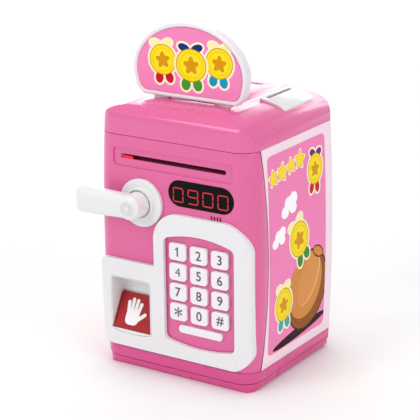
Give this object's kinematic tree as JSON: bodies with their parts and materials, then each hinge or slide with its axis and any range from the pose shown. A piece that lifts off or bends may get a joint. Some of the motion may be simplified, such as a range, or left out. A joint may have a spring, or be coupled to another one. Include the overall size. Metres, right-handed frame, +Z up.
{
  "type": "toy safe coin bank",
  "caption": "Toy safe money box: bowed casing with domed cap and headboard, hinged keypad door with lever handle, palm pad and motor-fed banknote slot.",
  "frame": {"origin": "centre of the resting face under the plinth, midway between the sides and between the door's front plane and the back", "axes": "+Z up, the door faces -Y, +X to the right as seen from the front"},
  "size_m": [0.1326, 0.1269, 0.243],
  "materials": {
    "side_pink": "satin moulded shell",
    "base_pink": "glossy moulded plinth",
    "cap_pink": "glossy moulded cap",
    "door_pink": "glossy moulded door",
    "white_plastic": "glossy white moulding",
    "key_plastic": "satin white key caps with printed digits",
    "picture_film": "printed glossy film",
    "battery_sleeve": "shrink sleeve",
    "steel": "plated steel",
    "black_plastic": "fine matt",
    "wine_rubber": "soft matt wine-red rubber",
    "circuit_board": "coated fibreglass",
    "smoked_window": "polished dark window",
    "red_pad": "satin red pad",
    "red_light": "clear red moulding"
  },
  "bodies": {
    "body": {"body_shell": "side_pink", "base_plinth": "base_pink", "top_cap": "cap_pink", "coin_plate": "white_plastic", "coin_chute": "white_plastic", "headboard_frame": "white_plastic", "headboard_front": "picture_film", "headboard_back": "picture_film", "sticker_right": "picture_film", "sticker_left": "picture_film", "battery_box": "white_plastic", "battery_cover": "base_pink", "batteries": "battery_sleeve", "battery_contacts": "steel", "cover_screw": "steel", "base_screws": "steel", "switch_body": "black_plastic", "hinge_pins": "steel"},
    "door": {"door_shell": "door_pink", "door_tray": "white_plastic", "door_screws": "steel", "bezel": "white_plastic", "keypad_plate": "door_pink", "key_mat": "wine_rubber", "keypad_board": "circuit_board", "display_window": "smoked_window", "display_board": "circuit_board", "speaker": "black_plastic", "palm_pocket": "white_plastic", "palm_spring": "steel", "handle_rose": "white_plastic", "lock_solenoid": "black_plastic", "feed_frame": "white_plastic", "feed_motor": "steel", "slot_light": "red_light"},
    "handle": {"handle_lever": "white_plastic", "handle_cap": "white_plastic", "handle_spindle": "steel", "latch_tongue": "steel", "tongue_nut": "steel"},
    "plunger": {"lock_plunger": "steel"},
    "pinion": {"motor_pinion": "white_plastic"},
    "roller": {"roller_gear": "white_plastic", "feed_roller": "wine_rubber"},
    "idler": {"idler_roller": "wine_rubber"},
    "palm": {"palm_pad": "red_pad"},
    "switch": {"switch_knob": "white_plastic"},
    "key_1": {"key_1": "key_plastic"},
    "key_2": {"key_2": "key_plastic"},
    "key_3": {"key_3": "key_plastic"},
    "key_4": {"key_4": "key_plastic"},
    "key_5": {"key_5": "key_plastic"},
    "key_6": {"key_6": "key_plastic"},
    "key_7": {"key_7": "key_plastic"},
    "key_8": {"key_8": "key_plastic"},
    "key_9": {"key_9": "key_plastic"},
    "key_star": {"key_star": "key_plastic"},
    "key_0": {"key_0": "key_plastic"},
    "key_hash": {"key_hash": "key_plastic"},
    "key_bar": {"key_bar": "key_plastic"}
  },
  "joints": [
    {"name": "door_swing", "type": "hinge", "parent": "body", "child": "door", "pos_m": [0.0575, -0.045, 0.091], "axis": [0, 0, 1], "range_deg": [0, 105]},
    {"name": "handle_turn", "type": "hinge", "parent": "door", "child": "handle", "pos_m": [-0.024, -0.054, 0.1225], "axis": [0, -1, 0], "range_deg": [0, 90]},
    {"name": "lock_pull", "type": "slide", "parent": "door", "child": "plunger", "axis": [1, 0, 0], "range_m": [0, 0.003], "stiffness_N_per_m": 40},
    {"name": "pinion_spin", "type": "hinge", "parent": "door", "child": "pinion", "pos_m": [-0.046, -0.0425, 0.1366], "axis": [1, 0, 0], "continuous": true},
    {"name": "roller_spin", "type": "hinge", "parent": "door", "child": "roller", "pos_m": [0, -0.0425, 0.1476], "axis": [1, 0, 0], "continuous": true},
    {"name": "idler_spin", "type": "hinge", "parent": "door", "child": "idler", "pos_m": [0, -0.0425, 0.1574], "axis": [1, 0, 0], "continuous": true},
    {"name": "palm_press", "type": "slide", "parent": "door", "child": "palm", "axis": [0, 0.8771, -0.4802], "range_m": [0, 0.0012], "stiffness_N_per_m": 300},
    {"name": "switch_slide", "type": "slide", "parent": "body", "child": "switch", "axis": [1, 0, 0], "range_m": [0, 0.0042]},
    {"name": "key_1_press", "type": "slide", "parent": "door", "child": "key_1", "axis": [0, 1, 0], "range_m": [0, 0.0012], "stiffness_N_per_m": 300},
    {"name": "key_2_press", "type": "slide", "parent": "door", "child": "key_2", "axis": [0, 1, 0], "range_m": [0, 0.0012], "stiffness_N_per_m": 300},
    {"name": "key_3_press", "type": "slide", "parent": "door", "child": "key_3", "axis": [0, 1, 0], "range_m": [0, 0.0012], "stiffness_N_per_m": 300},
    {"name": "key_4_press", "type": "slide", "parent": "door", "child": "key_4", "axis": [0, 1, 0], "range_m": [0, 0.0012], "stiffness_N_per_m": 300},
    {"name": "key_5_press", "type": "slide", "parent": "door", "child": "key_5", "axis": [0, 1, 0], "range_m": [0, 0.0012], "stiffness_N_per_m": 300},
    {"name": "key_6_press", "type": "slide", "parent": "door", "child": "key_6", "axis": [0, 1, 0], "range_m": [0, 0.0012], "stiffness_N_per_m": 300},
    {"name": "key_7_press", "type": "slide", "parent": "door", "child": "key_7", "axis": [0, 1, 0], "range_m": [0, 0.0012], "stiffness_N_per_m": 300},
    {"name": "key_8_press", "type": "slide", "parent": "door", "child": "key_8", "axis": [0, 1, 0], "range_m": [0, 0.0012], "stiffness_N_per_m": 300},
    {"name": "key_9_press", "type": "slide", "parent": "door", "child": "key_9", "axis": [0, 1, 0], "range_m": [0, 0.0012], "stiffness_N_per_m": 300},
    {"name": "key_star_press", "type": "slide", "parent": "door", "child": "key_star", "axis": [0, 1, 0], "range_m": [0, 0.0012], "stiffness_N_per_m": 300},
    {"name": "key_0_press", "type": "slide", "parent": "door", "child": "key_0", "axis": [0, 1, 0], "range_m": [0, 0.0012], "stiffness_N_per_m": 300},
    {"name": "key_hash_press", "type": "slide", "parent": "door", "child": "key_hash", "axis": [0, 1, 0], "range_m": [0, 0.0012], "stiffness_N_per_m": 300},
    {"name": "key_bar_press", "type": "slide", "parent": "door", "child": "key_bar", "axis": [0, 1, 0], "range_m": [0, 0.0012], "stiffness_N_per_m": 300}
  ],
  "couplings": [
    {"joint": "roller_spin", "follows": "pinion_spin", "ratio": -0.57143},
    {"joint": "idler_spin", "follows": "pinion_spin", "ratio": 0.57143}
  ]
}
